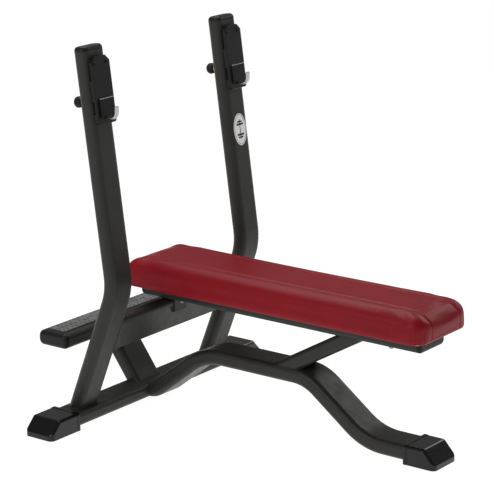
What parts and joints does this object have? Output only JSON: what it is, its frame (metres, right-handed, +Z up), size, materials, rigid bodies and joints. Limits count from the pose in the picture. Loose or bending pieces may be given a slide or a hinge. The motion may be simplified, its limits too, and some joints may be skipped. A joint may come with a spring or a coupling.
{
  "type": "olympic bench press",
  "caption": "Flat bench press stand with bent uprights, chrome bar hooks on pull-pin carriages, a red padded bench, an arched spine and a spotter step.",
  "frame": {"origin": "on the floor, at the centre of the footprint's box", "axes": "+X towards the foot end of the bench, +Y to the left of someone lying on it, +Z up"},
  "size_m": [1.3375, 1.106, 1.2218],
  "materials": {
    "frame_paint": "satin charcoal powder coat",
    "foot_rubber": "polished black rubber",
    "cap_plastic": "satin black plastic",
    "tread_aluminium": "raised tread pattern, dull grey",
    "board_wood": "birch plywood",
    "pad_leather": "deep red leatherette, semi-gloss",
    "zinc_steel": "zinc plated",
    "plate_paint": "black powder coat",
    "black_plastic": "fine textured black",
    "black_screws": "black oxide",
    "hook_chrome": "polished",
    "pin_brass": "yellow passivated",
    "badge_white": "plain white vinyl, no text"
  },
  "bodies": {
    "frame": {"rear_crossbar": "frame_paint", "spine_tube": "frame_paint", "upright_beam": "frame_paint", "front_foot_cap": "foot_rubber", "step_tube": "frame_paint", "step_post": "frame_paint", "step_tread": "tread_aluminium", "pad_rail": "frame_paint", "pad_rail_cap_head": "cap_plastic", "pad_rail_cap_foot": "cap_plastic", "rail_saddle": "frame_paint", "front_brace": "frame_paint", "pad_board": "board_wood", "pad_cushion": "pad_leather", "pad_bolts": "zinc_steel", "pad_washers": "zinc_steel", "pad_tee_nuts": "zinc_steel", "badge": "badge_white", "upright_left": "frame_paint", "upright_right": "frame_paint", "mast_cap_left": "cap_plastic", "mast_cap_right": "cap_plastic", "rear_foot_cap_left": "foot_rubber", "rear_foot_cap_right": "foot_rubber", "step_cap_left": "cap_plastic", "step_cap_right": "cap_plastic", "pin_sleeve_left": "pin_brass", "pin_sleeve_right": "pin_brass", "pin_spring_left": "zinc_steel", "pin_spring_right": "zinc_steel"},
    "hook_carriage_left": {"hook_plate_left": "plate_paint", "hook_screws_left": "black_screws", "hook_spacer_left": "black_plastic", "hook_block_upper_left": "plate_paint", "hook_block_lower_left": "plate_paint", "j_hook_left": "hook_chrome", "hook_liner_left": "black_plastic", "hook_lip_left": "hook_chrome"},
    "pull_pin_left": {"pin_plunger_left": "zinc_steel", "pin_knob_left": "black_plastic"},
    "hook_carriage_right": {"hook_plate_right": "plate_paint", "hook_screws_right": "black_screws", "hook_spacer_right": "black_plastic", "hook_block_upper_right": "plate_paint", "hook_block_lower_right": "plate_paint", "j_hook_right": "hook_chrome", "hook_liner_right": "black_plastic", "hook_lip_right": "hook_chrome"},
    "pull_pin_right": {"pin_plunger_right": "zinc_steel", "pin_knob_right": "black_plastic"}
  },
  "joints": [
    {"name": "hook_lift_left", "type": "slide", "parent": "frame", "child": "hook_carriage_left", "axis": [-0.1431, 0, 0.9897], "range_m": [0, 0.03]},
    {"name": "hook_lift_right", "type": "slide", "parent": "frame", "child": "hook_carriage_right", "axis": [-0.1431, 0, 0.9897], "range_m": [0, 0.03]},
    {"name": "pin_pull_left", "type": "slide", "parent": "frame", "child": "pull_pin_left", "axis": [-0.9897, 0, -0.1431], "range_m": [0, 0.018], "stiffness_N_per_m": 700, "springref_m": -0.012, "deforming": ["pin_spring_left"]},
    {"name": "pin_pull_right", "type": "slide", "parent": "frame", "child": "pull_pin_right", "axis": [-0.9897, 0, -0.1431], "range_m": [0, 0.018], "stiffness_N_per_m": 700, "springref_m": -0.012, "deforming": ["pin_spring_right"]}
  ]
}
